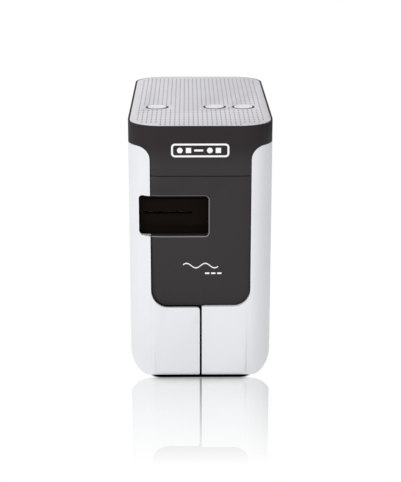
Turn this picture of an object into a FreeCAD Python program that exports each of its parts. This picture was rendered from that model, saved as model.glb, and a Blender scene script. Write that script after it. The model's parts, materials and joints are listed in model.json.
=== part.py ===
"""Desktop label maker: a narrow upright case with a tape cassette, a printing and feed drive and a cutter.

Millimetres. The origin is on the ground under the middle of the case, +Z is up, and the front,
where the label comes out, faces -Y. The hinged cassette door is the left side of the case (-X).
"""
import FreeCAD, Part
import math
import os

from FreeCAD import Vector

# ---- driving dimensions: the case ----
case_width = 78.0
case_depth = 152.0
case_height = 143.0
wall = 2.0
shell_bottom = 0.8            # underside of the white shells
plan_corner_r = 18.0
side_bottom_r = 12.5
front_bottom_r = 4.0
half_w = case_width / 2
half_d = case_depth / 2

# ---- black crown, its tongue and the front panel ----
band_bottom = 131.2
tongue_bottom = 115.5
tongue_gap = 0.45
panel_x = (-26.7, 27.1)
panel_bottom = 42.1
panel_corner_r = 9.0
crown_fillet_r = 7.2
panel_gap = 0.15
foot_inset = 2.4              # how far the leaning black front lies behind the white shells at its foot
rear_zone = half_d - 16       # everything further back belongs to the rear wall and its corners
front_zone = -half_d + 16

# ---- top inlay and buttons ----
deck_bottom = 139.0
deck_top = 142.5
plate_top = 143.0
ring_top = 143.05
cap_top = 143.35
rim = 1.0
front_rim = 0.3
back_rim = 0.4
button_centres = {"power": (-23.9, -25.2), "mode": (8.4, -24.8), "feed": (24.5, -24.9)}
button_r = 5.3
ring_inner_r = 5.5
ring_outer_r = 6.45
button_travel = 0.7
stem_r = 2.5
stem_bottom = 136.8
board_top = 131.6

# ---- label window ----
window_x = (-33.3, 4.4)
window_z = (81.7, 104.3)
window_r = 2.4
window_lip = 1.2
window_lip_back = -69.2
exit_z = (92.3, 93.7)          # height of the slot that the label leaves by

# ---- door ----
door_gap = 0.4
door_below_panel = 41.3
seam_left = -0.5
seam_right = 0.7
hinge_x = -36.0
hinge_y = 57.5
barrel_r = 3.0
pin_r = 1.2
running_gap = 0.05
barrel_z = (24.3, 120.0)
lower_knuckle_z = (16.0, 24.0)
upper_knuckle_z = (120.3, 130.0)
rear_seam = 60.9

# ---- base ----
base_half_x = 25.0
base_half_y = 65.0
base_bottom = 0.5
base_top = 2.9
cell_r = 7.25
cell_length = 50.5
tray_top = 18.6
cover_half_x = 22.7
cover_front = -51.0
cover_hinge_y = 52.0
cover_hinge_z = 1.7
cover_thickness = 1.8

# ---- frame and cassette ----
bay_wall = (-1.0, 2.0)
frame_left = -33.0
frame_y = (-57.0, 52.0)
frame_top = 128.0
floor_top = 20.2
board_x = (25.5, 27.1)
cassette_x = (-32.5, -2.0)
cassette_y = (-36.0, 40.0)
cassette_z = (56.0, 114.0)
cassette_wall = 1.2
roll_at = (16.0, 82.0)        # y and z, like every centre of a part that turns about X
roll_r = 20.5
film_at = (-16.0, 72.0)
spool_r = 7.0
inside_x = (-30.2, -6.2)      # the room between the cassette's two flat walls
column_x = (-28.0, -2.5)      # the columns that hold the top cover on the frame
column_y = (-52.0, 47.5)
notch_y = -36.0               # the front of the bay wall is open here for the roller holder
notch_z = (74.0, 93.4)

# ---- gears ----
module = 0.8
addendum = 0.85 * module
dedendum = 1.25 * module
backlash = 0.2
pressure_angle = math.radians(20)
layer_a = (4.0, 8.0)
layer_b = (9.0, 13.0)
hex_inradius = 1.5
journal_r = 1.8
motor_teeth = 10
drive_teeth_large = 30
drive_teeth_small = 16
transfer_teeth = 20
ribbon_teeth = 24
platen_teeth = 14
holder_teeth = 10
feed_teeth = 14
bracket_x = (14.0, 15.5)
bracket_y = (-58.0, -12.5)
bracket_z = (68.0, 120.0)
bracket_posts = [(-16.0, 79.5), (-15.0, 117.0), (-55.0, 117.0), (-56.0, 71.5)]

# ---- tape path ----
tape_x = (-29.5, -5.5)
tape_z = (93.0, 93.2)
platen_r = 4.0
platen_at = (-42.0, 88.7)
roller_spacing = 13.0
feed_at = (platen_at[0] - roller_spacing, platen_at[1])
holder_pivot = (-12.0, 88.7)
cage_x = (-32.0, -2.6)
cheek = 1.6
arm_x = (2.4, 3.6)

# ---- cutter ----
blade_pivot_at = (6.0, 86.0)  # x and z; the blade turns about Y
moving_blade_y = (-63.3, -62.1)
fixed_blade_y = (-61.8, -60.8)
sector_teeth = 40
cutter_pinion_teeth = 10

# ---- sockets in the rear panel ----
jack_at = (20.5, 50.0)
jack_r = 4.6
usb_x = (13.5, 25.4)
usb_z = (58.5, 69.5)
jack_front = 60.5
jack_face = 73.2

FAR = 200.0


# ---------------------------------------------------------------- helpers
def block(x0, x1, y0, y1, z0, z1):
    return Part.makeBox(x1 - x0, y1 - y0, z1 - z0, Vector(x0, y0, z0))


def place(plane, a, b, along):
    """A point given by its two coordinates in a plane and its place along the plane's normal."""
    if plane == "xy":
        return Vector(a, b, along)
    if plane == "xz":
        return Vector(a, along, b)
    return Vector(along, a, b)


def normal(plane):
    return {"xy": Vector(0, 0, 1), "xz": Vector(0, 1, 0), "yz": Vector(1, 0, 0)}[plane]


def outline(plane, along, corners):
    """A closed wire in a plane. Each corner is (a, b) or (a, b, rounding radius)."""
    count = len(corners)
    edges = []
    stretches = []
    for i in range(count):
        before = corners[i - 1]
        here = corners[i]
        after = corners[(i + 1) % count]
        radius = here[2] if len(here) > 2 else 0.0
        p = place(plane, here[0], here[1], along)
        if radius < 1e-6:
            stretches.append((p, None, p))
            continue
        to_before = (place(plane, before[0], before[1], along) - p).normalize()
        to_after = (place(plane, after[0], after[1], along) - p).normalize()
        half = to_before.getAngle(to_after) / 2
        reach = radius / math.tan(half)
        middle = (to_before + to_after).normalize()
        centre = p + middle * (radius / math.sin(half))
        stretches.append((p + to_before * reach, centre - middle * radius, p + to_after * reach))
    for i in range(count):
        start, via, end = stretches[i]
        if via is not None:
            edges.append(Part.Arc(start, via, end).toShape())
        following = stretches[(i + 1) % count][0]
        if (following - end).Length > 1e-6:
            edges.append(Part.LineSegment(end, following).toShape())
    return Part.Wire(edges)


def prism(plane, lo, hi, corners):
    """Extrude an outline along its normal."""
    return Part.Face(outline(plane, lo, corners)).extrude(normal(plane) * (hi - lo))


def rectangle(a0, a1, b0, b1, radius):
    return [(a0, b0, radius), (a1, b0, radius), (a1, b1, radius), (a0, b1, radius)]


def rounded_rect(plane, lo, hi, a0, a1, b0, b1, radius):
    return prism(plane, lo, hi, rectangle(a0, a1, b0, b1, radius))


def rod(plane, centre, radius, lo, hi):
    """A cylinder along the plane's normal."""
    return Part.makeCylinder(radius, hi - lo, place(plane, centre[0], centre[1], lo), normal(plane))


def polygon_rod(plane, centre, inradius, lo, hi, sides):
    outer = inradius / math.cos(math.pi / sides)
    angles = [2 * math.pi * k / sides for k in range(sides)]
    corners = [(centre[0] + outer * math.cos(t), centre[1] + outer * math.sin(t)) for t in angles]
    return prism(plane, lo, hi, corners)


def joined(*solids):
    result = solids[0]
    for other in solids[1:]:
        result = result.fuse(other)
    return result.removeSplitter()


# ---------------------------------------------------------------- case outline
def envelope(inset):
    """The outer shape of the whole case, moved inwards by inset."""
    x = half_w - inset
    y = half_d - inset
    z = shell_bottom + inset
    plan = rounded_rect("xy", 0, case_height, -x, x, -y, y, plan_corner_r - inset)
    across = prism("xz", -FAR, FAR, [(-x, z, side_bottom_r - inset), (x, z, side_bottom_r - inset),
                                     (x, FAR), (-x, FAR)])
    along = prism("yz", -FAR, FAR, [(-y, z, front_bottom_r - inset), (y, z, front_bottom_r - inset),
                                    (y, FAR), (-y, FAR)])
    return plan.common(across).common(along)


def crown_outline(gap, bottom, y0, y1):
    """The T shape of the black parts: the band, running down into the panel by concave fillets."""
    x0 = panel_x[0] - gap
    x1 = panel_x[1] + gap
    z = band_bottom - gap
    low_r = panel_corner_r + gap
    top_r = crown_fillet_r - gap
    corners = [(x0, bottom, low_r), (x1, bottom, low_r), (x1, z, top_r), (FAR, z),
               (FAR, FAR), (-FAR, FAR), (-FAR, z), (x0, z, top_r)]
    return prism("xz", y0, y1, corners)


def leaning_solid(inset):
    """The case's plan from the foot of the panel up to the band, where it is as far forward as the case."""
    low = panel_bottom - 3.0
    back = foot_inset * (band_bottom - low) / (band_bottom - panel_bottom)
    sections = []
    for z, shift in ((low, back), (band_bottom, 0.0)):
        corners = rectangle(-half_w + inset, half_w - inset, -half_d + inset + shift, half_d + shift,
                            plan_corner_r - inset)
        sections.append(outline("xy", z, corners))
    return Part.makeLoft(sections, True, True)


def leaning_front():
    """The skin of the black front, which follows the plan corners and leans back towards its foot."""
    leaning_skin = leaning_solid(0).cut(leaning_solid(wall))
    return leaning_skin.common(block(-FAR, FAR, -FAR, front_zone, 0, FAR))


def window_hole(outset, y0, y1):
    return rounded_rect("xz", y0, y1, window_x[0] - outset, window_x[1] + outset,
                        window_z[0] - outset, window_z[1] + outset, window_r + outset)


def window_frame(x0, x1, y0):
    """The lip that lines the window between two places across the front."""
    ring = window_hole(window_lip, y0, window_lip_back).cut(window_hole(0, -FAR, 0))
    return ring.common(block(x0, x1, -FAR, 0, 0, FAR)).common(envelope(wall / 2))


skin = envelope(0).cut(envelope(wall))
base_corner_r = 6.0
base_opening = rounded_rect("xy", -1, shell_bottom + wall + 1, -base_half_x - 0.4, base_half_x + 0.4,
                            -base_half_y - 0.4, base_half_y + 0.4, base_corner_r)


# ---------------------------------------------------------------- casing
def make_top_cover():
    band = skin.common(block(-FAR, FAR, -FAR, FAR, band_bottom, FAR))
    above_seam = block(-FAR, FAR, -FAR, FAR, tongue_bottom, band_bottom)
    front = leaning_front().common(crown_outline(0, panel_bottom, -FAR, front_zone)).common(above_seam)
    rear = skin.common(crown_outline(0, panel_bottom, rear_zone, FAR)).common(above_seam)
    deck = envelope(wall).common(block(-FAR, FAR, -FAR, FAR, deck_bottom, deck_top))
    cover = joined(band, front, rear, deck)
    recess = rounded_rect("xy", deck_top, FAR, -half_w + rim, half_w - rim,
                          -half_d + front_rim, half_d - back_rim, plan_corner_r - rim)
    cover = cover.cut(recess).cut(block(-FAR, FAR, -FAR, -half_d + plan_corner_r, deck_top, FAR))
    for x, y in button_centres.values():
        cover = cover.cut(rod("xy", (x, y), ring_inner_r, deck_top - 1.4, FAR))
        cover = cover.cut(rod("xy", (x, y), stem_r + 0.3, 0, FAR))
    for x in column_x:
        for y in column_y:
            cover = cover.fuse(rod("xy", (x, y), 3.0, frame_top, deck_bottom + 0.5))
    return cover.removeSplitter()


def make_top_plate():
    plate = rounded_rect("xy", deck_top, plate_top, -half_w + rim, half_w - rim,
                         -half_d + front_rim, half_d - back_rim, plan_corner_r - rim)
    for x, y in button_centres.values():
        plate = plate.cut(rod("xy", (x, y), ring_outer_r, 0, FAR))
    return plate


def make_button_rings():
    rings = []
    for centre in button_centres.values():
        ring = rod("xy", centre, ring_outer_r, deck_top, ring_top)
        rings.append(ring.cut(rod("xy", centre, ring_inner_r, 0, FAR)))
    return Part.makeCompound(rings)


def make_button(centre):
    """A shallow dished cap on a stem, with a collar that keeps it under the deck."""
    cap = rod("xy", centre, button_r, deck_top - 0.5, cap_top)
    cap = cap.makeFillet(0.25, [cap.Edges[0]])
    dish_r = 30.0
    dish = Part.makeSphere(dish_r, Vector(centre[0], centre[1], cap_top + dish_r - 0.3))
    stem = rod("xy", centre, stem_r, stem_bottom, deck_top - 0.5)
    collar = rod("xy", centre, stem_r + 1.1, stem_bottom, deck_bottom - 1.0)
    return joined(cap, stem, collar).cut(dish)


def make_front_panel():
    outline = crown_outline(0, panel_bottom, -FAR, front_zone)
    span = block(panel_x[0], panel_x[1], -FAR, FAR, panel_bottom, tongue_bottom - tongue_gap)
    panel = leaning_front().common(outline).common(span)
    lip = window_frame(panel_x[0], FAR, -half_d + foot_inset)
    return joined(panel.cut(window_hole(0, -FAR, 0)), lip)


def make_right_shell():
    zone = block(seam_right, FAR, -FAR, rear_seam - 0.2, 0, band_bottom - panel_gap)
    shell = skin.common(zone).cut(base_opening)
    shell = shell.cut(crown_outline(panel_gap, panel_bottom - panel_gap, -FAR, front_zone))
    outer = crown_outline(panel_gap + 1.2, panel_bottom - panel_gap - 1.2, -half_d, -half_d + 4.5)
    inner = crown_outline(panel_gap, panel_bottom - panel_gap, -FAR, FAR)
    ledge = outer.cut(inner).common(block(seam_right + 1.5, FAR, -FAR, FAR, 0, band_bottom - panel_gap))
    return joined(shell, ledge.common(envelope(0)))


def make_cassette_door():
    zone = block(-FAR, seam_left, -FAR, hinge_y, 0, band_bottom - door_gap)
    door = skin.common(zone).cut(base_opening)
    door = door.cut(crown_outline(door_gap, door_below_panel, -FAR, front_zone))
    corner_r = 1.6
    rounded = prism("xz", -FAR, front_zone, [(panel_x[0], shell_bottom), (seam_left, shell_bottom, corner_r),
                                             (seam_left, door_below_panel, corner_r),
                                             (panel_x[0], door_below_panel)])
    keep = block(-FAR, panel_x[0] + panel_corner_r, -FAR, FAR, 0, FAR)
    door = door.common(joined(rounded, keep))
    door = door.cut(window_hole(0, -FAR, front_zone))
    lip = window_frame(-FAR, panel_x[0] - door_gap, -half_d + wall / 2)
    barrel = rod("xy", (hinge_x, hinge_y), barrel_r, barrel_z[0], barrel_z[1])
    web = block(-half_w + wall / 2, hinge_x, hinge_y - 6, hinge_y, barrel_z[0], barrel_z[1])
    for z0, z1 in (lower_knuckle_z, upper_knuckle_z):
        door = door.cut(rod("xy", (hinge_x, hinge_y), barrel_r + 0.3, z0 - 0.3, z1 + 0.3))
    door = joined(door, lip, barrel, web)
    return door.cut(rod("xy", (hinge_x, hinge_y), pin_r + running_gap, 0, FAR))


def make_rear_cover():
    zone = block(-FAR, FAR, rear_seam, FAR, 0, band_bottom - panel_gap)
    cover = skin.common(zone).cut(base_opening)
    cover = cover.cut(crown_outline(panel_gap, panel_bottom - panel_gap, rear_zone, FAR))
    for z0, z1 in (lower_knuckle_z, upper_knuckle_z):
        knuckle = rod("xy", (hinge_x, hinge_y), barrel_r, z0, z1)
        arm = block(hinge_x - 0.8, hinge_x + barrel_r, hinge_y, rear_seam + 3, z0, z1)
        foot = block(-half_w + wall / 2, hinge_x + barrel_r, rear_seam + 1, rear_seam + 3, z0, z1)
        cover = joined(cover, knuckle, arm, foot)
    return cover.cut(rod("xy", (hinge_x, hinge_y), pin_r, 0, FAR))


def make_rear_panel():
    outline = crown_outline(0, panel_bottom, rear_zone, FAR)
    span = block(panel_x[0], panel_x[1], -FAR, FAR, panel_bottom, tongue_bottom - tongue_gap)
    panel = skin.common(outline).common(span)
    panel = panel.cut(rod("xz", jack_at, jack_r, 0, FAR))
    panel = panel.cut(block(usb_x[0] - 0.2, usb_x[1] + 0.2, 0, FAR, usb_z[0] - 0.2, usb_z[1] + 0.2))
    for k in range(7):
        slot_z = 84.0 + 3.6 * k
        panel = panel.cut(rounded_rect("xz", 0, FAR, -15, 15, slot_z, slot_z + 1.6, 0.79))
    return panel


def make_hinge_pin():
    return rod("xy", (hinge_x, hinge_y), pin_r, lower_knuckle_z[0] + 0.5, upper_knuckle_z[1] - 0.5)


def make_door_liner():
    """The ribbed inner panel of the door, which keeps the cassette seated."""
    back = rounded_rect("yz", -half_w + wall, -half_w + wall + 1.2, -58, 44, 26, 120, 5)
    liner = back
    for k in range(5):
        y = -30.0 + 16 * k
        liner = liner.fuse(block(-half_w + wall + 1.2, frame_left - 0.6, y, y + 1.4, 60, 110))
    return liner.removeSplitter()


def make_door_latch():
    """A hook near the front of the door that enters the slot of the frame."""
    base = block(-half_w + wall, -half_w + wall + 1.4, -63.5, -58.5, 65, 75)
    hook = block(-half_w + wall + 1.4, -29.6, -62.2, -60.6, 67.5, 73.5)
    nose = block(-31.2, -29.6, -62.9, -60.6, 67.5, 73.5)
    return joined(base, hook, nose).common(envelope(wall))


def make_exit_chute():
    """The dark throat behind the window, which leads the label out of the cutter."""
    x0 = window_x[0] + 0.8
    x1 = window_x[1] - 0.1
    z0, z1 = window_z
    outer = block(x0, x1, -68.8, -66.0, z0 - 1.2, z1 + 1.2)
    inner = block(x0 + 1.0, x1 - 1.0, -FAR, -67.2, z0 + 0.4, z1 - 0.4)
    slot = block(tape_x[0] - 1.0, tape_x[1] + 1.0, -FAR, 0, exit_z[0], exit_z[1])
    chute = outer.cut(inner)
    for z in (z0 + 3.4, z1 - 4.2):
        chute = chute.fuse(block(x0 + 1.0, x1 - 1.0, -68.0, -67.2, z, z + 0.8))
    return chute.cut(slot).removeSplitter()


# ---------------------------------------------------------------- base and battery bay
def make_base_plate():
    plate = rounded_rect("xy", base_bottom, base_top, -base_half_x, base_half_x,
                         -base_half_y, base_half_y, base_corner_r)
    rear_edge = cover_hinge_y + cover_thickness / 2 + 0.4
    mouth = block(-cover_half_x - 0.3, cover_half_x + 0.3, cover_front - 0.3, rear_edge, 0, base_top + 1)
    tray_x = cover_half_x + 0.3
    tray_outer = block(-tray_x - 1.4, tray_x + 1.4, -54.4, 56.4, base_top, tray_top)
    tray_inner = block(-tray_x, tray_x, -53.0, 55.0, 0, FAR)
    plate = joined(plate.cut(mouth), tray_outer.cut(tray_inner))
    for x, y in screw_places():
        plate = plate.fuse(rod("xy", (x, y), 2.9, base_top, 14.0))
        plate = plate.cut(rod("xy", (x, y), 2.4, 0, base_top - 0.6))
        plate = plate.cut(rod("xy", (x, y), 1.25, 0, FAR))
    for x, y in foot_places():
        plate = plate.cut(rod("xy", (x, y), 5.0, 0, 1.2))
    hinge_bore = rod("yz", (cover_hinge_y, cover_hinge_z), 0.65, -tray_x - 1.3, tray_x + 1.3)
    return plate.cut(hinge_bore)


def screw_places():
    return [(x, y) for x in (-11.0, 11.0) for y in (-59.5, 60.8)]


def foot_places():
    return [(x, y) for x in (-19.0, 19.0) for y in (-59.3, 59.3)]


def make_rubber_feet():
    feet = []
    for centre in foot_places():
        foot = rod("xy", centre, 5.0, 0, 1.2)
        feet.append(foot.makeFillet(0.25, [foot.Edges[2]]))
    return Part.makeCompound(feet)


def make_case_screws():
    screws = []
    for x, y in screw_places():
        head = rod("xy", (x, y), 2.3, 0.9, base_top - 0.6)
        slot_a = block(x - 1.3, x + 1.3, y - 0.25, y + 0.25, 0, 1.5)
        slot_b = block(x - 0.25, x + 0.25, y - 1.3, y + 1.3, 0, 1.5)
        shank = rod("xy", (x, y), 1.2, base_top - 0.6, 13.0)
        screws.append(joined(head, shank).cut(slot_a).cut(slot_b))
    return Part.makeCompound(screws)


def make_battery_cover():
    half_t = cover_thickness / 2
    z0 = cover_hinge_z - half_t
    z1 = cover_hinge_z + half_t
    plate = block(-cover_half_x, cover_half_x, cover_front, cover_hinge_y, z0, z1)
    rounded_end = rod("yz", (cover_hinge_y, cover_hinge_z), half_t, -cover_half_x, cover_half_x)
    pins = rod("yz", (cover_hinge_y, cover_hinge_z), 0.6, -cover_half_x - 1.0, cover_half_x + 1.0)
    cover = joined(plate, rounded_end, pins)
    for k in range(5):
        y = cover_front + 4 + 1.8 * k
        cover = cover.cut(block(-8, 8, y, y + 0.9, 0, z0 + 0.4))
    return cover


def cell_places():
    return [(x, y) for x in (-2 * cell_r, 0.0, 2 * cell_r) for y in (-50.2, 0.8)]


def make_batteries():
    cells = []
    for x, y in cell_places():
        centre = (x, cover_hinge_z + cover_thickness / 2 + 0.7 + cell_r)
        can = rod("xz", centre, cell_r - 0.05, y, y + cell_length - 1.2)
        nub = rod("xz", centre, 2.7, y + cell_length - 1.2, y + cell_length)
        cells.append(joined(can, nub))
    return Part.makeCompound(cells)


def make_battery_contacts():
    """Spring plates at the front end of the cells and flat plates at the rear end."""
    z = cover_hinge_z + cover_thickness / 2 + 0.7 + cell_r
    contacts = []
    for x in (-2 * cell_r, 0.0, 2 * cell_r):
        spring = Part.makeCone(5.2, 2.2, 2.0, Vector(x, -52.4, z), Vector(0, 1, 0))
        plate = block(x - 6, x + 6, -53.0, -52.4, z - 5, z + 5)
        contacts.append(joined(plate, spring))
        rear = block(x - 6, x + 6, 54.4, 55.0, z - 5, z + 5)
        boss = Part.makeCone(4.0, 3.0, 2.8, Vector(x, 54.4, z), Vector(0, -1, 0))
        contacts.append(joined(rear, boss))
    return Part.makeCompound(contacts)


# ---------------------------------------------------------------- gear train geometry
def pitch_r(teeth):
    return module * teeth / 2


def beside(centre, teeth_a, teeth_b, degrees):
    """The centre of a gear that meshes with another, in a direction from it."""
    reach = pitch_r(teeth_a) + pitch_r(teeth_b)
    angle = math.radians(degrees)
    return (centre[0] + reach * math.cos(angle), centre[1] + reach * math.sin(angle))


def meshing_phase(centre_a, teeth_a, phase_a, centre_b, teeth_b):
    """Turn gear b so that a gap of it faces a tooth of gear a."""
    angle = math.atan2(centre_b[1] - centre_a[1], centre_b[0] - centre_a[0])
    half_pitch = math.pi * module / 2
    return angle + math.pi + (half_pitch - pitch_r(teeth_a) * (phase_a - angle)) / pitch_r(teeth_b)


def tooth_half_angle(teeth, radius):
    base_r = pitch_r(teeth) * math.cos(pressure_angle)
    at_pitch = (math.pi * module - backlash) / (4 * pitch_r(teeth))
    roll = math.acos(base_r / max(radius, base_r))
    involute = math.tan(roll) - roll
    return at_pitch + math.tan(pressure_angle) - pressure_angle - involute


def gear(plane, centre, teeth, phase, lo, hi):
    """A spur gear whose involute flanks are made of short straight facets."""
    pitch = pitch_r(teeth)
    base_r = max(pitch * math.cos(pressure_angle), pitch - dedendum + 0.05)
    radii = [pitch - dedendum, base_r, (base_r + pitch + addendum) / 2, pitch + addendum]
    corners = []
    for k in range(teeth):
        middle = phase + 2 * math.pi * k / teeth
        for side, flank in ((-1, radii), (1, radii[::-1])):
            for radius in flank:
                angle = middle + side * tooth_half_angle(teeth, radius)
                corners.append((centre[0] + radius * math.cos(angle), centre[1] + radius * math.sin(angle)))
    return prism(plane, lo, hi, corners)


drive_at = beside(platen_at, platen_teeth, drive_teeth_small, 90)
transfer_at = beside(drive_at, drive_teeth_small, transfer_teeth, 15)
ribbon_at = beside(transfer_at, transfer_teeth, ribbon_teeth, 0)
motor_at = beside(drive_at, drive_teeth_large, motor_teeth, -20)
holder_reach = pitch_r(platen_teeth) + pitch_r(holder_teeth)
holder_drop = math.sqrt(holder_reach ** 2 - (roller_spacing / 2) ** 2)
holder_gear_at = (platen_at[0] - roller_spacing / 2, platen_at[1] - holder_drop)

drive_phase = 0.0
platen_phase = meshing_phase(drive_at, drive_teeth_small, drive_phase, platen_at, platen_teeth)
transfer_phase = meshing_phase(drive_at, drive_teeth_small, drive_phase, transfer_at, transfer_teeth)
ribbon_phase = meshing_phase(transfer_at, transfer_teeth, transfer_phase, ribbon_at, ribbon_teeth)
motor_phase = meshing_phase(drive_at, drive_teeth_large, drive_phase, motor_at, motor_teeth)
holder_phase = meshing_phase(platen_at, platen_teeth, platen_phase, holder_gear_at, holder_teeth)
feed_phase = meshing_phase(holder_gear_at, holder_teeth, holder_phase, feed_at, feed_teeth)
pinion_at = (blade_pivot_at[0] + pitch_r(sector_teeth) + pitch_r(cutter_pinion_teeth), blade_pivot_at[1])


def hex_bore(centre):
    return polygon_rod("yz", centre, hex_inradius, -FAR, FAR, 6)


def hex_bored_gear(centre, teeth, phase, layer):
    return gear("yz", centre, teeth, phase, layer[0], layer[1]).cut(hex_bore(centre))


def make_drive_gear():
    small = gear("yz", drive_at, drive_teeth_small, drive_phase, layer_a[0], layer_b[0])
    large = gear("yz", drive_at, drive_teeth_large, drive_phase, layer_b[0], layer_b[1])
    return joined(small, large).cut(hex_bore(drive_at))


def make_motor_pinion():
    teeth = gear("yz", motor_at, motor_teeth, motor_phase, layer_b[0], layer_b[1])
    return joined(teeth, polygon_rod("yz", motor_at, 0.95, layer_b[1], 20.0, 12))


def axle(centre, journal_from, hex_to, tail=None):
    """A shaft with a round journal on the bay side and a hexagon through its gear."""
    shaft = rod("yz", centre, journal_r, journal_from, layer_a[0])
    shaft = shaft.fuse(polygon_rod("yz", centre, hex_inradius, layer_a[0], hex_to, 6))
    if tail is not None:
        shaft = shaft.fuse(rod("yz", centre, hex_inradius - 0.3, hex_to, tail))
    return shaft.removeSplitter()


# ---------------------------------------------------------------- frame
def make_main_frame():
    """The moulded frame: a tray open to the left for the cassette, with a floor over the batteries."""
    outer = block(frame_left, bay_wall[1], frame_y[0], frame_y[1], floor_top, frame_top)
    inner = block(frame_left - 1, bay_wall[0], -FAR, frame_y[1] - 2, floor_top + 2, frame_top - 2)
    floor = block(frame_left, 30.0, frame_y[0], frame_y[1], tray_top, floor_top)
    shelf = block(frame_left, bay_wall[0], cassette_y[0], frame_y[1], cassette_z[0] - 2, cassette_z[0])
    keeper = block(frame_left, -28.0, -60.3, frame_y[0] + 2, 65, 75.5)
    keeper_arm = block(-30.0, bay_wall[0], frame_y[0], frame_y[0] + 2, 62, 68)
    frame = joined(outer.cut(inner), floor, shelf, keeper, keeper_arm)
    frame = frame.cut(block(bay_wall[0] - 1, FAR, -FAR, notch_y, notch_z[0], notch_z[1]))
    for k in range(4):
        y = -30 + 20.0 * k
        frame = frame.fuse(block(frame_left + 2, bay_wall[0], y, y + 1.6, floor_top + 1, cassette_z[0] - 1))
    for centre in (drive_at, transfer_at, ribbon_at):
        frame = frame.cut(rod("yz", centre, journal_r + running_gap, -FAR, 3.0))
    for y in (-45.0, 40.0):
        frame = frame.fuse(block(-6, 0, y - 3, y + 3, frame_top - 0.5, board_top - 1.6))
    frame = frame.fuse(block(bay_wall[1], board_x[0], 48.0, frame_y[1], floor_top, 60.0))
    frame = frame.fuse(block(bay_wall[0], bay_wall[1], -64.0, frame_y[0] + 1, 66.0, 76.0))
    return frame.removeSplitter()


def make_gear_bracket():
    """The steel plate on four posts that carries the motor and the outer end of the drive axle."""
    plate = rounded_rect("yz", bracket_x[0], bracket_x[1], bracket_y[0], bracket_y[1],
                         bracket_z[0], bracket_z[1], 3)
    for centre in bracket_posts:
        plate = plate.fuse(rod("yz", centre, 2.0, bay_wall[1], bracket_x[0] + 0.5))
    plate = plate.removeSplitter()
    plate = plate.cut(rod("yz", drive_at, hex_inradius - 0.3 + running_gap, 0, FAR))
    return plate.cut(rod("yz", motor_at, 3.05, 0, FAR))


def make_feed_motor():
    can = rod("yz", motor_at, 10.0, bracket_x[1], 32.5)
    can = can.makeFillet(0.8, [e for e in can.Edges if isinstance(e.Curve, Part.Circle)][:1])
    boss = rod("yz", motor_at, 3.0, bracket_x[0], bracket_x[1])
    terminals = block(32.5, 33.4, motor_at[0] - 4, motor_at[0] + 4, motor_at[1] - 1, motor_at[1] + 1)
    return joined(can, boss, terminals).cut(rod("yz", motor_at, 1.3, 0, 21.0))


# ---------------------------------------------------------------- print and feed rollers
def make_roller_holder():
    """The swinging cage that carries both rollers, with the arm that hangs it on its pin."""
    cage = block(cage_x[0], cage_x[1], -59.6, -37.4, 80.2, 91.6)
    cage = cage.cut(block(cage_x[0] + cheek, cage_x[1] - cheek, -FAR, 0, 82.0, FAR))
    arm = prism("yz", arm_x[0], arm_x[1], [(-60.0, 79.0), (-40.0, 79.0), (-30.0, 85.2), (-8.4, 85.2, 3),
                                           (-8.4, 92.2, 3), (-60.0, 92.2)])
    bridge = block(cage_x[1] - cheek, arm_x[0] + 0.1, -58.0, -38.0, 80.2, 82.0)
    holder = joined(cage, arm, bridge)
    for centre in (platen_at, feed_at):
        holder = holder.cut(rod("yz", centre, journal_r + running_gap, -FAR, FAR))
    gear_post = rod("yz", holder_gear_at, 1.3, arm_x[0], layer_a[1] + 0.5)
    holder = holder.cut(rod("yz", holder_pivot, 2.0 + running_gap, -FAR, FAR))
    return joined(holder, gear_post)


def make_holder_pin():
    shank = rod("yz", holder_pivot, 2.0, bay_wall[1], 11.5)
    head = rod("yz", holder_pivot, 3.0, 11.5, 12.3)
    return joined(shank, head)


def make_holder_spring():
    """Torsion spring round the pin, with one leg along the top of the arm."""
    coils = []
    for k in range(5):
        coils.append(Part.makeTorus(3.2, 0.4, place("yz", *holder_pivot, 4.4 + 0.79 * k), Vector(1, 0, 0)))
    leg = rod("xz", (4.4, holder_pivot[1] + 3.2), 0.4, holder_pivot[0] - 9, holder_pivot[0])
    return joined(*coils, leg)


def roller_shaft(centre):
    shaft = rod("yz", centre, journal_r, cage_x[0] + 0.1, layer_a[0])
    return joined(shaft, polygon_rod("yz", centre, hex_inradius, layer_a[0], layer_a[1] + 0.3, 6))


def roller(centre, radius):
    tube = rod("yz", centre, radius, tape_x[0], tape_x[1])
    return tube.cut(rod("yz", centre, journal_r, -FAR, FAR))


def make_holder_gear():
    teeth = gear("yz", holder_gear_at, holder_teeth, holder_phase, layer_a[0], layer_a[1])
    return teeth.cut(polygon_rod("yz", holder_gear_at, 1.36, -FAR, FAR, 24))


def make_print_head():
    plate = block(-30.5, -4.5, -44.0, -39.5, 93.9, 95.4)
    heater = rod("yz", (-42.0, 93.9), 0.35, -29.5, -5.5)
    return joined(plate, heater)


def make_head_heatsink():
    sink = block(-31.5, bay_wall[0], -46.5, -37.5, 95.4, 104.0)
    for k in range(5):
        x = -29.0 + 5.4 * k
        sink = sink.cut(block(x, x + 2.6, -FAR, 0, 98.0, FAR))
    return sink.cut(rod("yz", drive_at, journal_r + 0.6, -4.0, FAR))


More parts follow.
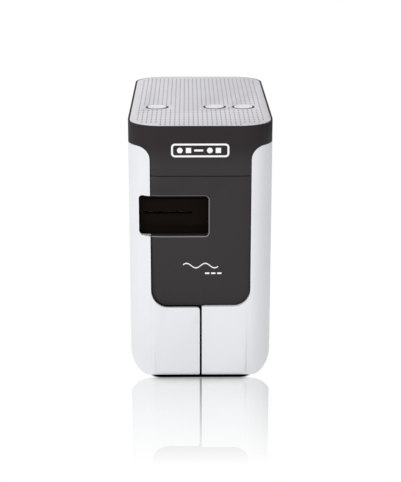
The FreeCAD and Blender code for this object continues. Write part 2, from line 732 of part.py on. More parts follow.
# ---------------------------------------------------------------- cutter
def make_cutter_frame():
    """Black steel frame: front plate with the label slot, a rear plate for the motor, a side wall."""
    front = block(-32.0, 33.0, -66.0, -64.2, 76.0, 106.0)
    slot = block(tape_x[0] - 1.5, tape_x[1] + 1.5, -FAR, 0, exit_z[0] + 0.3, exit_z[1] + 1.3)
    rear = block(13.0, 33.0, -60.3, -59.0, 76.0, 98.0)
    side = block(31.4, 33.0, -66.0, -59.0, 76.0, 98.0)
    ledge = block(-31.0, 33.0, -66.0, -59.6, 76.0, 77.6)
    frame = joined(front.cut(slot), rear, side, ledge)
    frame = frame.cut(rod("xz", pinion_at, 2.4, -62, 0))
    pivot = rod("xz", blade_pivot_at, 1.5, -64.2, -61.6)
    rivet_head = rod("xz", blade_pivot_at, 2.6, -61.95, -61.6)
    return joined(frame, pivot, rivet_head)


def make_fixed_blade():
    blade = block(-31.0, 1.0, fixed_blade_y[0], fixed_blade_y[1], 77.6, 92.4)
    edge = prism("yz", -FAR, FAR, [(fixed_blade_y[1] - 0.5, 93), (fixed_blade_y[1] + 0.1, 93),
                                   (fixed_blade_y[1] + 0.1, 91.2)])
    return blade.cut(edge)


def make_moving_blade():
    """Scissor blade, raised at rest, with a toothed sector on the other side of its pivot."""
    px, pz = blade_pivot_at
    y0, y1 = moving_blade_y
    arm = prism("xz", y0, y1, [(-31.0, 98.5), (2.0, 94.3), (px + 1, pz - 4), (px + 4, pz), (px + 2, pz + 5),
                               (2.0, 101.0), (-31.0, 104.0, 1.5)])
    boss = rod("xz", blade_pivot_at, 4.0, y0, y1)
    sector = gear("xz", blade_pivot_at, sector_teeth, 0.0, y0, y1)
    reach = 19.0
    wedge = prism("xz", y0, y1, [(px, pz), (px + reach, pz - 7.5), (px + reach, pz + 7.5)])
    blade = joined(arm, boss, sector.common(wedge))
    return blade.cut(rod("xz", blade_pivot_at, 1.5 + running_gap, -FAR, 0))


def make_cutter_pinion():
    phase = meshing_phase(blade_pivot_at, sector_teeth, 0.0, pinion_at, cutter_pinion_teeth)
    teeth = gear("xz", pinion_at, cutter_pinion_teeth, phase, -63.8, -61.4)
    return joined(teeth, polygon_rod("xz", pinion_at, 0.95, -61.4, -52.0, 12))


def make_cutter_motor():
    can = rod("xz", pinion_at, 7.6, -59.0, -41.0)
    boss = rod("xz", pinion_at, 2.4, -60.3, -59.0)
    return joined(can, boss).cut(rod("xz", pinion_at, 1.3, -FAR, -51.0))


# ---------------------------------------------------------------- tape cassette
def make_cassette_shell():
    x0, x1 = cassette_x
    y0, y1 = cassette_y
    z0, z1 = cassette_z
    shell = rounded_rect("yz", x0 + cassette_wall, x1, y0, y1, z0, z1, 3)
    room = rounded_rect("yz", x0, x1 - cassette_wall, y0 + cassette_wall, y1 - cassette_wall,
                        z0 + cassette_wall, z1 - cassette_wall, 2)
    shell = shell.cut(room)
    shell = shell.fuse(rod("yz", roll_at, 7.9, inside_x[0], x1 - cassette_wall))
    shell = shell.fuse(rod("yz", film_at, 2.9, inside_x[0], x1 - cassette_wall))
    shell = shell.cut(block(tape_x[0] - 0.6, tape_x[1] + 0.6, -FAR, y0 + 2, 91.6, 94.6))
    return shell.cut(rod("yz", ribbon_at, 3.2, -FAR, FAR))


def make_cassette_lid():
    x0 = cassette_x[0]
    lid = rounded_rect("yz", x0, x0 + cassette_wall,
                       cassette_y[0], cassette_y[1], cassette_z[0], cassette_z[1], 3)
    lid = lid.cut(rod("yz", ribbon_at, 3.2, -FAR, FAR))
    return lid.cut(rounded_rect("yz", -FAR, FAR, 8.0, 30.0, 100.0, 106.0, 2))


def make_tape_roll():
    roll = rod("yz", roll_at, roll_r, inside_x[0], inside_x[1])
    return roll.cut(rod("yz", roll_at, 8.0, -FAR, FAR))


def make_film_spool():
    spool = rod("yz", film_at, spool_r, inside_x[0], inside_x[1])
    return spool.cut(rod("yz", film_at, 3.0, -FAR, FAR))


def make_take_up_spool():
    spool = rod("yz", ribbon_at, spool_r, inside_x[0], inside_x[1])
    return spool.cut(hex_bore(ribbon_at))


def make_ribbon_spindle():
    inner = polygon_rod("yz", ribbon_at, hex_inradius, inside_x[0], -4.0, 6)
    journal = rod("yz", ribbon_at, journal_r, -4.0, layer_a[0])
    outer = polygon_rod("yz", ribbon_at, hex_inradius, layer_a[0], layer_a[1] + 0.3, 6)
    return joined(inner, journal, outer)


def make_label_tape():
    return block(tape_x[0] + 0.3, tape_x[1] - 0.3, -58.6, cassette_y[0] + 3, tape_z[0], tape_z[1])


# ---------------------------------------------------------------- boards and sockets

def make_main_board():
    return block(board_x[0], board_x[1], -8.0, 71.0, 24.0, 112.0)


def make_board_components():
    pieces = [block(21.5, board_x[0], 20, 34, 76, 90), block(23.6, board_x[0], 2, 12, 60, 70),
              block(board_x[1], 29.0, 10, 20, 30, 40), block(22.0, board_x[0], 40, 46, 88, 108)]
    for k in range(4):
        pieces.append(rod("yz", (56.0, 78.0 + 9.5 * k), 4.0, 15.5, board_x[0]))
    for k in range(6):
        pieces.append(block(24.7, board_x[0], -2 + 3.4 * k, -0.4 + 3.4 * k, 100, 100.9))
    return Part.makeCompound(pieces)


def make_dc_jack():
    body = block(jack_at[0] - 4.9, board_x[0], jack_front, jack_face, jack_at[1] - 5.2, jack_at[1] + 5.2)
    collar = rod("xz", jack_at, jack_r - 0.1, jack_face, 75.5)
    pin = rod("xz", jack_at, 1.0, jack_front, 75.0)
    socket = joined(body, collar).cut(rod("xz", jack_at, 3.0, 64.0, FAR))
    return joined(socket, pin)


def make_usb_socket():
    shell = block(usb_x[0], usb_x[1], 59.0, 75.4, usb_z[0], usb_z[1])
    shell = shell.cut(block(usb_x[0] + 1.5, usb_x[1] - 1.5, 64.0, FAR, usb_z[0] + 1.4, usb_z[1] - 1.4))
    middle = (usb_x[0] + usb_x[1]) / 2
    tongue = block(middle - 2.0, middle + 2.0, 64.0, 74.0, usb_z[0] + 4.6, usb_z[1] - 4.6)
    return joined(shell, tongue)


def make_button_board():
    return block(-30.0, 31.0, -48.0, 43.0, board_top - 1.6, board_top)


def make_tact_switches():
    switches = []
    for x, y in button_centres.values():
        body = block(x - 3, x + 3, y - 3, y + 3, board_top, board_top + 3.5)
        plunger = rod("xy", (x, y), 1.7, board_top + 3.5, stem_bottom - button_travel - 0.1)
        switches.append(joined(body, plunger))
    return Part.makeCompound(switches)


# ---------------------------------------------------------------- write the sub-parts
parts = {
    "top_cover": make_top_cover(),
    "top_plate": make_top_plate(),
    "button_rings": make_button_rings(),
    "power_button": make_button(button_centres["power"]),
    "mode_button": make_button(button_centres["mode"]),
    "feed_button": make_button(button_centres["feed"]),
    "front_panel": make_front_panel(),
    "right_shell": make_right_shell(),
    "rear_cover": make_rear_cover(),
    "rear_panel": make_rear_panel(),
    "cassette_door": make_cassette_door(),
    "door_liner": make_door_liner(),
    "door_latch": make_door_latch(),
    "hinge_pin": make_hinge_pin(),
    "exit_chute": make_exit_chute(),
    "base_plate": make_base_plate(),
    "battery_cover": make_battery_cover(),
    "rubber_feet": make_rubber_feet(),
    "case_screws": make_case_screws(),
    "batteries": make_batteries(),
    "battery_contacts": make_battery_contacts(),
    "main_frame": make_main_frame(),
    "gear_bracket": make_gear_bracket(),
    "feed_motor": make_feed_motor(),
    "motor_pinion": make_motor_pinion(),
    "drive_gear": make_drive_gear(),
    "drive_axle": axle(drive_at, bay_wall[0] + 0.4, layer_b[1] + 0.3, bracket_x[1] - 0.1),
    "transfer_gear": hex_bored_gear(transfer_at, transfer_teeth, transfer_phase, layer_a),
    "transfer_axle": axle(transfer_at, bay_wall[0] + 0.4, layer_a[1] + 0.3),
    "ribbon_gear": hex_bored_gear(ribbon_at, ribbon_teeth, ribbon_phase, layer_a),
    "ribbon_spindle": make_ribbon_spindle(),
    "roller_holder": make_roller_holder(),
    "holder_pin": make_holder_pin(),
    "holder_spring": make_holder_spring(),
    "platen_shaft": roller_shaft(platen_at),
    "platen_roller": roller(platen_at, platen_r),
    "platen_gear": hex_bored_gear(platen_at, platen_teeth, platen_phase, layer_a),
    "feed_shaft": roller_shaft(feed_at),
    "feed_roller": roller(feed_at, platen_r - 0.1),
    "feed_gear": hex_bored_gear(feed_at, feed_teeth, feed_phase, layer_a),
    "holder_gear": make_holder_gear(),
    "print_head": make_print_head(),
    "head_heatsink": make_head_heatsink(),
    "cutter_frame": make_cutter_frame(),
    "fixed_blade": make_fixed_blade(),
    "moving_blade": make_moving_blade(),
    "cutter_motor": make_cutter_motor(),
    "cutter_pinion": make_cutter_pinion(),
    "cassette_shell": make_cassette_shell(),
    "cassette_lid": make_cassette_lid(),
    "tape_roll": make_tape_roll(),
    "film_spool": make_film_spool(),
    "take_up_spool": make_take_up_spool(),
    "label_tape": make_label_tape(),
    "main_board": make_main_board(),
    "button_board": make_button_board(),
    "tact_switches": make_tact_switches(),
    "board_components": make_board_components(),
    "dc_jack": make_dc_jack(),
    "usb_socket": make_usb_socket(),
}

os.makedirs("parts", exist_ok=True)
for name, shape in parts.items():
    shape.exportStep("parts/" + name + ".step")
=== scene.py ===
import json
import math

import bmesh
import bpy
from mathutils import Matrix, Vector


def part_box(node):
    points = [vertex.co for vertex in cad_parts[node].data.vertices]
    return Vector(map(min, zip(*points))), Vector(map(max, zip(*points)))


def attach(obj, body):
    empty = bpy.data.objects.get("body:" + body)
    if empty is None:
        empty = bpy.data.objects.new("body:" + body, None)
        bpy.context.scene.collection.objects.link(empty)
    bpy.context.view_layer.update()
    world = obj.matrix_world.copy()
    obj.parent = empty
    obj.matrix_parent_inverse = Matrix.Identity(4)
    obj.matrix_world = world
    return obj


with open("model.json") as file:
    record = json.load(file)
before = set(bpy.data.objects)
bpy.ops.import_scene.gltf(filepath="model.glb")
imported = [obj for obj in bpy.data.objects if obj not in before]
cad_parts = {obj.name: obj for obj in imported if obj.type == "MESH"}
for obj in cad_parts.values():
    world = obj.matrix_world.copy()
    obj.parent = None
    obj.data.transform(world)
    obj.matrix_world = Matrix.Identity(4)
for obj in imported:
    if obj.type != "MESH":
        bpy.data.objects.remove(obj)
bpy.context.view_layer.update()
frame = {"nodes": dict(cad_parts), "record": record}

MM = 0.001
NODES = frame["nodes"]
SLOT_OF = {part["node"]: part["material_slot"] for part in frame["record"]["subparts"]}


# ---------------------------------------------------------------- material helpers
class Shader:
    """Builds one node material a step at a time."""

    def __init__(self, name):
        self.material = bpy.data.materials.new(name)
        self.material.use_nodes = True
        self.tree = self.material.node_tree
        self.tree.nodes.clear()
        self.output = self.add("ShaderNodeOutputMaterial")
        self.bsdf = self.add("ShaderNodeBsdfPrincipled")
        self.link(self.bsdf.outputs["BSDF"], self.output.inputs["Surface"])
        self.place = self.add("ShaderNodeTexCoord").outputs["Object"]

    def add(self, kind):
        return self.tree.nodes.new(kind)

    def link(self, source, target):
        self.tree.links.new(source, target)

    def stretched(self, scale):
        """Object coordinates multiplied by scale, per axis."""
        node = self.add("ShaderNodeMapping")
        node.inputs["Scale"].default_value = scale
        self.link(self.place, node.inputs["Vector"])
        return node.outputs["Vector"]

    def noise(self, scale, detail=3.0, vector=None):
        node = self.add("ShaderNodeTexNoise")
        node.inputs["Scale"].default_value = scale
        node.inputs["Detail"].default_value = detail
        self.link(vector or self.place, node.inputs["Vector"])
        return node.outputs["Fac"]

    def cell_walls(self, scale):
        """Distance to the nearest wall in a pattern of irregular cells."""
        node = self.add("ShaderNodeTexVoronoi")
        node.feature = "DISTANCE_TO_EDGE"
        node.inputs["Scale"].default_value = scale
        self.link(self.place, node.inputs["Vector"])
        return node.outputs["Distance"]

    def ramp(self, source, low, high, to_low, to_high):
        node = self.add("ShaderNodeMapRange")
        node.inputs["From Min"].default_value = low
        node.inputs["From Max"].default_value = high
        node.inputs["To Min"].default_value = to_low
        node.inputs["To Max"].default_value = to_high
        self.link(source, node.inputs["Value"])
        return node.outputs["Result"]

    def math(self, operation, a, b=0.0):
        node = self.add("ShaderNodeMath")
        node.operation = operation
        for socket, value in zip(node.inputs, (a, b)):
            if isinstance(value, (int, float)):
                socket.default_value = value
            else:
                self.link(value, socket)
        return node.outputs[0]

    def mixed(self, factor, a, b):
        node = self.add("ShaderNodeMix")
        node.data_type = "RGBA"
        self.link(factor, node.inputs["Factor"])
        for socket, value in ((node.inputs["A"], a), (node.inputs["B"], b)):
            if isinstance(value, (tuple, list)):
                socket.default_value = (*value, 1.0)
            else:
                self.link(value, socket)
        return node.outputs["Result"]

    def edges(self, radius):
        """1 on sharp edges and 0 on flat or gently curved faces."""
        rounded = self.add("ShaderNodeBevel")
        rounded.samples = 4
        rounded.inputs["Radius"].default_value = radius
        normal = self.add("ShaderNodeNewGeometry").outputs["Normal"]
        dot = self.add("ShaderNodeVectorMath")
        dot.operation = "DOT_PRODUCT"
        self.link(rounded.outputs["Normal"], dot.inputs[0])
        self.link(normal, dot.inputs[1])
        return self.ramp(dot.outputs["Value"], 0.995, 0.85, 0.0, 1.0)

    def axes(self):
        node = self.add("ShaderNodeSeparateXYZ")
        self.link(self.place, node.inputs["Vector"])
        return node.outputs["X"], node.outputs["Y"], node.outputs["Z"]

    def ahead_of(self, y):
        """1 in front of the plane at y millimetres and 0 behind it."""
        return self.ramp(self.axes()[1], y * MM, (y - 0.1) * MM, 0.0, 1.0)

    def rounded_box(self, a, b, centre, half, radius):
        """Distance in millimetres to a rounded rectangle, negative inside it.

        a and b are coordinates in metres; centre, half sizes and corner radius are in millimetres.
        """
        over = []
        for value, middle, reach in ((a, centre[0], half[0]), (b, centre[1], half[1])):
            off = self.math("SUBTRACT", self.math("MULTIPLY", value, 1000.0), middle)
            beyond = self.math("SUBTRACT", self.math("ABSOLUTE", off), reach - radius)
            over.append(self.math("MAXIMUM", beyond, 0.0))
        squares = self.math("ADD", self.math("POWER", over[0], 2.0), self.math("POWER", over[1], 2.0))
        return self.math("SUBTRACT", self.math("SQRT", squares), radius)

    def filled(self, distance):
        """1 inside a shape and 0 outside, with a narrow soft border."""
        return self.ramp(distance, -0.04, 0.04, 1.0, 0.0)

    def stroked(self, distance, width):
        """1 on a line of that width along a shape's outline."""
        return self.filled(self.math("SUBTRACT", self.math("ABSOLUTE", distance), width / 2))

    def any_of(self, masks):
        total = masks[0]
        for mask in masks[1:]:
            total = self.math("MAXIMUM", total, mask)
        return total

    def bump(self, heights):
        """Stack bumps given as (height, depth in metres, strength)."""
        previous = None
        for height, depth, strength in heights:
            node = self.add("ShaderNodeBump")
            node.inputs["Distance"].default_value = depth
            node.inputs["Strength"].default_value = strength
            self.link(height, node.inputs["Height"])
            if previous is not None:
                self.link(previous, node.inputs["Normal"])
            previous = node.outputs["Normal"]
        self.link(previous, self.bsdf.inputs["Normal"])

    def set(self, **values):
        for name, value in values.items():
            self.bsdf.inputs[name.replace("_", " ")].default_value = value


def shade(color, factor):
    return tuple(min(1.0, c * factor) for c in color)


def plastic(name, color, rough, grain=1800.0, grain_depth=0.00001, painted_edge_color=None, edge_reach=0.5,
            specular=0.45, ior=1.45, marks=()):
    """Moulded plastic: fine spark-eroded grain, faint flow variation, polished edges with a painted
    highlight along them (a painted shade where the edge colour is darker), printed ink.
    """
    s = Shader(name)
    flow = s.noise(22.0, 4.0)
    speck = s.noise(grain, 2.0)
    tone = s.ramp(flow, 0.3, 0.7, 0.0, 1.0)
    base = s.mixed(tone, shade(color, 0.975), shade(color, 1.015))
    edge = s.edges(edge_reach * MM)
    # Painted highlight along sharp edges, 4 % lighter by default; a darker edge colour paints shade there
    # instead.
    base = s.mixed(edge, base, painted_edge_color or shade(color, 1.04))
    for mask, mark_color in marks:
        base = s.mixed(mask(s), base, mark_color)
    s.link(base, s.bsdf.inputs["Base Color"])
    smudge = s.ramp(s.noise(60.0, 5.0), 0.35, 0.7, rough - 0.05, rough + 0.05)
    s.link(s.math("SUBTRACT", smudge, s.math("MULTIPLY", edge, 0.08)), s.bsdf.inputs["Roughness"])
    s.bump([(speck, grain_depth, 0.35), (s.noise(9.0, 1.0), 0.00004, 0.15)])
    s.set(Specular_IOR_Level=specular, IOR=ior)
    return s.material


# Printed marks, a paler tone and a painted highlight round the label window, in millimetres. All of them
# are on the front of the case.
PRINT_BACK = -60.0
STRIP_Z = 129.4
FADE_Z = (132.0, 121.0)
WINDOW_MIDDLE = (-14.45, 93.0)
WINDOW_HALF = (18.85, 11.3)
WINDOW_BACK = -73.5
# Where the painted highlight round the window lies, and the heights over which it fades along the top.
BEVEL_OFFSET = 0.2
BEVEL_HIGHLIGHT_FADE_Z = (102.5, 104.0)
WAVE_Z = 65.0
WAVE_HEIGHT = 1.3
WAVE_RATE = 620.0             # radians per metre along x
WAVE_HALF_WIDTH = 0.32
DASHES_Z = 60.6


def crown_mark(s):
    """A label strip, drawn as a frame round plain shapes, printed on the front of the crown."""
    x, _, z = s.axes()
    dot = ((1.5, 1.5), 1.5)
    square = ((1.4, 1.4), 0.2)
    dash = ((2.4, 0.55), 0.3)
    shapes = [s.stroked(s.rounded_box(x, z, (-0.2, STRIP_Z), (14.9, 3.2), 1.6), 1.0)]
    row = ((-11.0, dot), (-6.4, square), (-1.0, dash), (4.9, dot), (9.4, square))
    for centre_x, (half, radius) in row:
        shapes.append(s.filled(s.rounded_box(x, z, (centre_x, STRIP_Z), half, radius)))
    return s.math("MULTIPLY", s.any_of(shapes), s.ahead_of(PRINT_BACK))


def tongue_tone(s):
    """The lower part of the crown's front, which is a little paler than the band."""
    paler = s.ramp(s.axes()[2], FADE_Z[0] * MM, FADE_Z[1] * MM, 0.0, 1.0)
    return s.math("MULTIPLY", paler, s.ahead_of(PRINT_BACK))


def window_bevel_highlight(s):
    """A painted highlight: a thin grey line round the label window where its bevel would catch the light,
    fainter along its top.
    """
    x, _, z = s.axes()
    half = [size + BEVEL_OFFSET for size in WINDOW_HALF]
    line = s.stroked(s.rounded_box(x, z, WINDOW_MIDDLE, half, 2.5), 0.4)
    fainter = s.ramp(z, BEVEL_HIGHLIGHT_FADE_Z[0] * MM, BEVEL_HIGHLIGHT_FADE_Z[1] * MM, 1.0, 0.35)
    return s.math("MULTIPLY", s.math("MULTIPLY", line, fainter), s.ahead_of(WINDOW_BACK))


def panel_mark(s):
    """A thin wave, as a strip of tape, over a row of short dashes, printed low on the front panel."""
    x, _, z = s.axes()
    wave = s.math("MULTIPLY", s.math("SINE", s.math("MULTIPLY", x, WAVE_RATE)), WAVE_HEIGHT)
    height = s.math("SUBTRACT", s.math("SUBTRACT", s.math("MULTIPLY", z, 1000.0), WAVE_Z), wave)
    line = s.filled(s.math("SUBTRACT", s.math("ABSOLUTE", height), WAVE_HALF_WIDTH))
    span = s.filled(s.rounded_box(x, z, (0.0, WAVE_Z), (9.5, 3.0), 0.5))
    shapes = [s.math("MULTIPLY", line, span)]
    for centre_x in (3.6, 6.9, 10.2):
        shapes.append(s.filled(s.rounded_box(x, z, (centre_x, DASHES_Z), (1.2, 0.45), 0.25)))
    return s.math("MULTIPLY", s.any_of(shapes), s.ahead_of(PRINT_BACK))


def metal(name, color, rough):
    """Drawn or brushed metal with long fine scratches along x and duller patches."""
    s = Shader(name)
    lines = s.noise(1.0, 4.0, s.stretched((40.0, 900.0, 900.0)))
    tone = s.ramp(lines, 0.3, 0.7, 0.0, 1.0)
    s.link(s.mixed(tone, shade(color, 0.85), shade(color, 1.05)), s.bsdf.inputs["Base Color"])
    s.link(s.ramp(s.noise(150.0, 4.0), 0.3, 0.7, rough - 0.08, rough + 0.1), s.bsdf.inputs["Roughness"])
    s.bump([(lines, 0.00001, 0.4)])
    s.set(Metallic=1.0)
    return s.material


def rubber(name, color):
    """Matt, gritty rubber."""
    s = Shader(name)
    grit = s.noise(2600.0, 3.0)
    s.link(s.mixed(grit, shade(color, 0.7), shade(color, 1.4)), s.bsdf.inputs["Base Color"])
    s.link(s.ramp(s.noise(300.0), 0.3, 0.7, 0.7, 0.9), s.bsdf.inputs["Roughness"])
    s.bump([(grit, 0.00002, 0.5)])
    s.set(Specular_IOR_Level=0.3)
    return s.material


def circuit(name, color):
    """Solder resist over copper tracks, which show as slightly lighter, raised lines."""
    s = Shader(name)
    track = s.ramp(s.cell_walls(260.0), 0.02, 0.06, 1.0, 0.0)
    s.link(s.mixed(track, color, shade(color, 1.9)), s.bsdf.inputs["Base Color"])
    s.link(s.ramp(s.noise(200.0), 0.3, 0.7, 0.25, 0.4), s.bsdf.inputs["Roughness"])
    s.bump([(track, 0.00003, 0.6)])
    return s.material


def tape(name, color):
    """Laminated film: smooth, glossy, with very fine winding lines."""
    s = Shader(name)
    lines = s.noise(1.0, 2.0, s.stretched((8000.0, 60.0, 60.0)))
    s.link(s.mixed(lines, shade(color, 0.93), shade(color, 1.03)), s.bsdf.inputs["Base Color"])
    s.link(s.ramp(s.noise(120.0), 0.3, 0.7, 0.15, 0.3), s.bsdf.inputs["Roughness"])
    s.bump([(lines, 0.000005, 0.3)])
    return s.material


def sleeve(name, color):
    """Cell sleeve: a copper-coloured end third and a black printed body."""
    s = Shader(name)
    cell_start, cell_pitch, band_start = 0.0502, 0.051, 0.034
    along = s.math("PINGPONG", s.math("ADD", s.axes()[1], cell_start), cell_pitch)
    band = s.ramp(along, band_start - 0.0001, band_start + 0.0001, 0.0, 1.0)
    s.link(s.mixed(band, (0.02, 0.02, 0.022), color), s.bsdf.inputs["Base Color"])
    s.link(s.ramp(s.noise(90.0), 0.3, 0.7, 0.2, 0.38), s.bsdf.inputs["Roughness"])
    s.bump([(s.noise(400.0), 0.00001, 0.2)])
    s.set(Metallic=0.35)
    return s.material


WHITE = (0.765, 0.778, 0.805)
# Painted highlight for the white shells' edges.
WHITE_EDGE_HIGHLIGHT = (0.92, 0.925, 0.94)
BLACK = (0.030, 0.0255, 0.0275)
TONGUE_BLACK = (0.043, 0.0385, 0.0405)
# Grey of the painted highlight round the label window's bevel.
BEVEL_HIGHLIGHT_GREY = (0.26, 0.25, 0.25)
INK = (0.90, 0.90, 0.91)
MATERIALS = {
    # Painted highlight: a slightly lighter colour along the crown's sharp edges.
    "crown_black": plastic("crown_black", BLACK, 0.62, painted_edge_color=(0.04, 0.036, 0.038),
                           specular=0.3, ior=1.2, marks=[(tongue_tone, TONGUE_BLACK), (crown_mark, INK)]),
    # Painted highlights: a lighter colour along the panel's edges and a grey line round the label window.
    "panel_black": plastic("panel_black", BLACK, 0.50, painted_edge_color=(0.05, 0.046, 0.046), edge_reach=0.35,
                           specular=0.5, ior=1.3, marks=[(panel_mark, INK), (window_bevel_highlight, BEVEL_HIGHLIGHT_GREY)]),
    # Painted highlight: a lighter colour along the plate's sharp edges.
    "plate_silver": plastic("plate_silver", (0.73, 0.715, 0.76), 0.38, grain=3000.0,
                            painted_edge_color=(0.82, 0.81, 0.84)),
    "mark_grey": plastic("mark_grey", (0.29, 0.275, 0.315), 0.5),
    "ring_black": plastic("ring_black", (0.008, 0.008, 0.009), 0.5, specular=0.2),
    # Painted shade: a dark edge colour draws a thin shaded outline round each button cap.
    "button_white": plastic("button_white", (0.86, 0.86, 0.88), 0.28, grain=2500.0,
                            grain_depth=0.000005, painted_edge_color=(0.16, 0.16, 0.17), edge_reach=0.2),
    # Painted highlight: a much lighter white along the shells' sharp edges.
    "shell_white": plastic("shell_white", WHITE, 0.42, specular=0.3, ior=1.3, grain=1500.0,
                           grain_depth=0.000006, painted_edge_color=WHITE_EDGE_HIGHLIGHT, edge_reach=0.6),
    "inner_grey": plastic("inner_grey", (0.62, 0.63, 0.65), 0.5),
    "throat_black": plastic("throat_black", (0.0065, 0.0040, 0.0030), 0.6, specular=0.05),
    "base_black": plastic("base_black", (0.012, 0.011, 0.011), 0.6, grain=900.0, grain_depth=0.00003,
                          specular=0.2),
    "frame_grey": plastic("frame_grey", (0.10, 0.10, 0.11), 0.5),
    "gear_white": plastic("gear_white", (0.78, 0.77, 0.72), 0.4),
    "cassette_grey": plastic("cassette_grey", (0.42, 0.43, 0.45), 0.35),
    "film_dark": tape("film_dark", (0.02, 0.02, 0.025)),
    "tape_white": tape("tape_white", (0.85, 0.85, 0.84)),
    "circuit_green": circuit("circuit_green", (0.02, 0.13, 0.05)),
    "head_white": plastic("head_white", (0.82, 0.80, 0.76), 0.2, specular=0.5),
    "steel": metal("steel", (0.56, 0.57, 0.58), 0.35),
    "spring_steel": metal("spring_steel", (0.62, 0.62, 0.62), 0.28),
    "aluminium": metal("aluminium", (0.72, 0.73, 0.75), 0.38),
    "cell": sleeve("cell", (0.55, 0.30, 0.12)),
    "brass": metal("brass", (0.70, 0.52, 0.24), 0.3),
    "rubber": rubber("rubber", (0.03, 0.03, 0.03)),
}


def paint(piece, slot_name):
    piece.data.materials.clear()
    piece.data.materials.append(MATERIALS[slot_name])


# ---------------------------------------------------------------- edges of the CAD parts
# How wide the rounded edges of each moulding are, in millimetres.
BEVELS = {
    "top_cover": 0.35, "front_panel": 0.30, "right_shell": 0.35, "rear_cover": 0.35,
    "cassette_door": 0.35, "top_plate": 0.15, "rear_panel": 0.25, "base_plate": 0.25,
    "battery_cover": 0.25, "button_rings": 0.15, "exit_chute": 0.15, "door_liner": 0.3,
    "main_frame": 0.3, "cassette_shell": 0.3, "cassette_lid": 0.3,
}


def soften(piece, width):
    """Clean, flat faces and small rounded edges, as a moulding has."""
    weld = piece.modifiers.new("weld", "WELD")
    weld.merge_threshold = 1e-6
    flat = piece.modifiers.new("flat", "DECIMATE")
    flat.decimate_type = "DISSOLVE"
    flat.angle_limit = math.radians(0.4)
    edge = piece.modifiers.new("edge", "BEVEL")
    edge.limit_method = "ANGLE"
    edge.angle_limit = math.radians(32)
    edge.width = width * MM
    edge.segments = 2
    edge.use_clamp_overlap = True
    edge.harden_normals = True


for name, piece in NODES.items():
    paint(piece, SLOT_OF[name])
    piece.data.shade_smooth()
    piece.data.set_sharp_from_angle(angle=math.radians(30))
    if name in BEVELS:
        soften(piece, BEVELS[name])


# ---------------------------------------------------------------- the pattern of the top plate
PLATE_LOW, PLATE_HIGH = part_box("top_plate")
RINGS_LOW, RINGS_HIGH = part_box("button_rings")
BUTTONS = ("power_button", "mode_button", "feed_button")
COLUMN_PITCH = 2.5 * MM
ROW_PITCH = 6.4 * MM
MARK_HALF = (0.36 * MM, 1.9 * MM)
MARK_MARGIN = 2.1 * MM
MARK_HEIGHT = 0.03 * MM
FIRST_ROW_OFFSET = 0.1 * MM
END_STEPS = 4                 # facets in each round end of a mark
PLATE_CORNER = 17.0 * MM


def button_centre(name):
    """Where a button's axis meets the plate, in x and y."""
    low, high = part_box(name)
    return ((low[0] + high[0]) / 2, (low[1] + high[1]) / 2)


def inside_plate(x, y, margin):
    """True for a place on the plate that is clear of its rounded corners and of the button rings."""
    over_x = max(abs(x) - (PLATE_HIGH[0] - PLATE_CORNER), 0.0)
    middle_y = (PLATE_LOW[1] + PLATE_HIGH[1]) / 2
    over_y = max(abs(y - middle_y) - ((PLATE_HIGH[1] - PLATE_LOW[1]) / 2 - PLATE_CORNER), 0.0)
    if math.hypot(over_x, over_y) > PLATE_CORNER - margin:
        return False
    ring_r = (RINGS_HIGH[1] - RINGS_LOW[1]) / 2
    return all(math.hypot(x - cx, y - cy) > ring_r + margin for cx, cy in map(button_centre, BUTTONS))


def add_mark(bm, centre_x, centre_y):
    """One narrow mark with round ends and a softened upper edge, half sunk into the plate."""
    half_width, half_length = MARK_HALF
    bottom, middle, top = (PLATE_HIGH[2] + step * MARK_HEIGHT for step in (-1, 0, 1))
    rings = []
    for grow, z in ((1.0, bottom), (1.0, middle), (0.8, top)):
        r = half_width * grow
        ring = []
        for end, first_angle in ((1, 0.0), (-1, math.pi)):
            for k in range(END_STEPS + 1):
                angle = first_angle + math.pi * k / END_STEPS
                x = centre_x + r * math.cos(angle)
                y = centre_y + end * (half_length - half_width) + r * math.sin(angle)
                ring.append(bm.verts.new((x, y, z)))
        rings.append(ring)
    count = len(rings[0])
    for low, high in zip(rings, rings[1:]):
        for k in range(count):
            after = (k + 1) % count
            bm.faces.new((low[k], low[after], high[after], high[k]))
    bm.faces.new(rings[-1])
    bm.faces.new(rings[0][::-1])


def make_plate_marks():
    """Rows and columns of marks over the whole plate, as one piece that rides on the case."""
    bm = bmesh.new()
    columns = int(PLATE_HIGH[0] / COLUMN_PITCH)
    rows = int((PLATE_HIGH[1] - PLATE_LOW[1]) / ROW_PITCH)
    first_y = PLATE_LOW[1] + MARK_MARGIN + FIRST_ROW_OFFSET
    for column in range(-columns - 1, columns + 1):
        for row in range(rows + 1):
            x = (column + 0.5) * COLUMN_PITCH
            y = first_y + row * ROW_PITCH
            if inside_plate(x, y, MARK_MARGIN):
                add_mark(bm, x, y)
    bmesh.ops.recalc_face_normals(bm, faces=bm.faces)
    mesh = bpy.data.meshes.new("plate_marks")
    bm.to_mesh(mesh)
    bm.free()
    mesh.shade_smooth()
    mesh.set_sharp_from_angle(angle=math.radians(40))
    piece = bpy.data.objects.new("plate_marks", mesh)
    bpy.context.scene.collection.objects.link(piece)
    paint(piece, "mark_grey")
    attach(piece, "case")


# ---------------------------------------------------------------- stage, light, camera
EYE = (-0.0069, -0.7636, 0.2844)        # the camera's place, in metres
CASE_FRONT = -0.076                     # the front of the case, along y
FLOOR_REACH = 6.0
CONTACT_SHADOW_HALF = (27.5, 75.4)             # the painted contact shadow under the case, in millimetres
CONTACT_SHADOW_CORNER = 6.0
SHEEN_MIDDLE = (0.0, 59.7)              # the mirrored front of the case, x and depth, in millimetres
SHEEN_HALF = (39.5, 60.0)
SHEEN_CORNER = 12.5
SHEEN_END_Y = (-0.185, -0.080)          # where the sheen has faded out, and where it is strongest
SHEEN_STRENGTH = 0.72


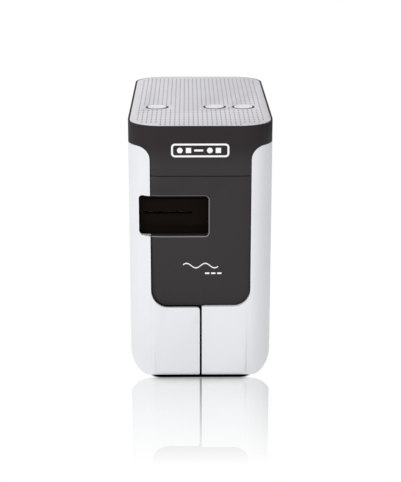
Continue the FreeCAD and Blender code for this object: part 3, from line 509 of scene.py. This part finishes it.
def floor_material():
    """Glowing white, black where the case stands as a painted contact shadow, and mirror-like in front of
    it.

    The mirror-like part keeps to the mirror image of the front of the case, as seen from EYE.
    """
    s = Shader("floor")
    s.tree.nodes.remove(s.bsdf)
    glow = s.add("ShaderNodeEmission")
    gloss = s.add("ShaderNodeBsdfGlossy")
    mix = s.add("ShaderNodeMixShader")
    gloss.inputs["Color"].default_value = (1.0, 1.0, 1.0, 1.0)
    gloss.inputs["Roughness"].default_value = 0.02
    x, y, _ = s.axes()
    contact_shadow = s.rounded_box(x, y, (0.0, 0.0), CONTACT_SHADOW_HALF, CONTACT_SHADOW_CORNER)
    # Painted contact shadow: the floor's glow fades to black under the case.
    s.link(s.ramp(contact_shadow, -1.0, 0.8, 0.0, 1.0), glow.inputs["Strength"])
    nearness = s.math("DIVIDE", s.math("SUBTRACT", y, EYE[1]), CASE_FRONT - EYE[1])
    mirrored_x = s.math("ADD", s.math("DIVIDE", s.math("SUBTRACT", x, EYE[0]), nearness), EYE[0])
    depth = s.math("SUBTRACT", s.math("DIVIDE", EYE[2], nearness), EYE[2])
    outline = s.rounded_box(mirrored_x, depth, SHEEN_MIDDLE, SHEEN_HALF, SHEEN_CORNER)
    fading = s.ramp(y, *SHEEN_END_Y, 0.0, SHEEN_STRENGTH)
    s.link(s.math("MULTIPLY", fading, s.ramp(outline, -0.3, 0.3, 1.0, 0.0)), mix.inputs["Fac"])
    s.link(glow.outputs["Emission"], mix.inputs[1])
    s.link(gloss.outputs["BSDF"], mix.inputs[2])
    s.link(mix.outputs["Shader"], s.output.inputs["Surface"])
    return s.material


def make_floor():
    mesh = bpy.data.meshes.new("floor")
    bm = bmesh.new()
    bmesh.ops.create_grid(bm, x_segments=1, y_segments=1, size=FLOOR_REACH)
    bm.to_mesh(mesh)
    bm.free()
    floor = bpy.data.objects.new("floor", mesh)
    bpy.context.scene.collection.objects.link(floor)
    mesh.materials.append(floor_material())


def area_light(name, where, target, size, power):
    """A rectangular soft light at where that faces target."""
    data = bpy.data.lights.new(name, "AREA")
    data.shape = "RECTANGLE"
    data.size, data.size_y = size
    data.energy = power
    light = bpy.data.objects.new(name, data)
    light.location = where
    aim = Vector(target) - Vector(where)
    light.rotation_euler = aim.to_track_quat("-Z", "Y").to_euler()
    bpy.context.scene.collection.objects.link(light)


# Each side of the room gets darker: towards where, from which share of that direction to
# which, and down to what strength.
DARKER_SIDES = (
    ((0.92, 0.39, 0.0), 0.40, 0.75, 0.0),
    ((-1.0, 0.0, 0.0), 0.22, 0.95, 0.70),
)


def make_world():
    """An even white room, darker behind on the right, as beside one large soft light on the left.

    The camera itself sees it evenly white.
    """
    world = bpy.data.worlds.new("studio")
    bpy.context.scene.world = world
    world.use_nodes = True
    tree = world.node_tree
    back = tree.nodes["Background"]
    back.inputs["Color"].default_value = (1.0, 1.0, 1.0, 1.0)
    place = tree.nodes.new("ShaderNodeTexCoord")
    level = tree.nodes.new("ShaderNodeMath")
    level.operation = "MINIMUM"
    for socket, (towards, start, end, dimmest) in zip(level.inputs, DARKER_SIDES):
        along = tree.nodes.new("ShaderNodeVectorMath")
        along.operation = "DOT_PRODUCT"
        along.inputs[1].default_value = towards
        tree.links.new(place.outputs["Generated"], along.inputs[0])
        fall = tree.nodes.new("ShaderNodeMapRange")
        fall.inputs["From Min"].default_value = start
        fall.inputs["From Max"].default_value = end
        fall.inputs["To Min"].default_value = 1.0
        fall.inputs["To Max"].default_value = dimmest
        tree.links.new(along.outputs["Value"], fall.inputs["Value"])
        tree.links.new(fall.outputs["Result"], socket)
    seen = tree.nodes.new("ShaderNodeLightPath").outputs["Is Camera Ray"]
    strength = tree.nodes.new("ShaderNodeMath")
    strength.operation = "MAXIMUM"
    tree.links.new(level.outputs[0], strength.inputs[0])
    tree.links.new(seen, strength.inputs[1])
    tree.links.new(strength.outputs[0], back.inputs["Strength"])


LOOK_DOWN = 16.49                       # the camera's tilt and turn, in degrees
LOOK_ASIDE = -0.57


def make_camera():
    """Slightly above the front, almost square on."""
    data = bpy.data.cameras.new("camera")
    data.lens = 99.4
    data.sensor_width = 36.0
    data.sensor_fit = "AUTO"
    data.shift_y = -0.005
    data.clip_start = 0.05
    camera = bpy.data.objects.new("camera", data)
    camera.location = EYE
    camera.rotation_euler = (math.radians(90 - LOOK_DOWN), 0.0, math.radians(LOOK_ASIDE))
    bpy.context.scene.collection.objects.link(camera)
    bpy.context.scene.camera = camera


make_plate_marks()
make_floor()
make_world()
area_light("key", (-0.42, -0.50, 0.30), (0, -0.07, 0.08), (0.35, 0.35), 0.8)
make_camera()
bpy.context.scene.view_settings.view_transform = "Standard"
